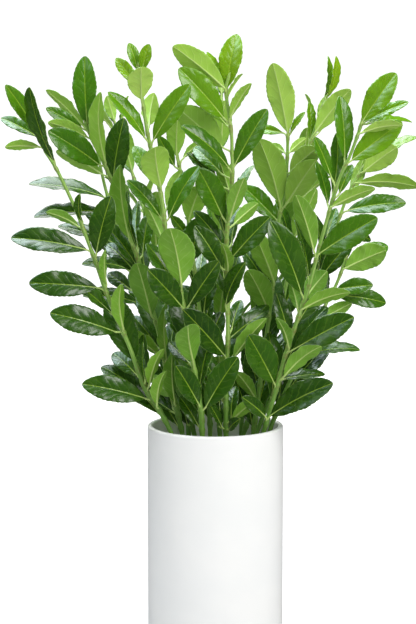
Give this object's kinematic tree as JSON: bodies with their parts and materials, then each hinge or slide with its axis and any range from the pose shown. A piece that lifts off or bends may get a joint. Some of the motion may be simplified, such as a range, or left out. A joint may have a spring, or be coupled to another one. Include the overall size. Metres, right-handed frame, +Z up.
{
  "type": "vase of euonymus branches",
  "caption": "Cut branches of glossy evergreen leaves spreading from a tall straight-sided white vase of water",
  "frame": {"origin": "centre of the vase's flat foot, on the surface it stands on", "axes": "+Z up along the vase; -Y toward the viewer of the picture; +X to the viewer's right"},
  "size_m": [0.3614, 0.2849, 0.5948],
  "materials": {
    "vase": "smooth white satin glaze",
    "water": "clear still water",
    "foliage": "waxy evergreen leaf, glossy dark green above and matte light green below, on smooth green stems"
  },
  "bodies": {
    "root": {"vase": "vase", "water": "water", "branch_centre": "foliage", "branch_left_centre": "foliage", "branch_right_front": "foliage", "branch_left_front": "foliage", "branch_left_mid": "foliage", "branch_right_inner": "foliage", "branch_right_low": "foliage", "branch_right_high": "foliage", "branch_right_thin": "foliage", "branch_left_back": "foliage", "branch_back_left": "foliage", "branch_back_centre": "foliage", "branch_back_right": "foliage", "branch_inner_back": "foliage"}
  },
  "joints": []
}
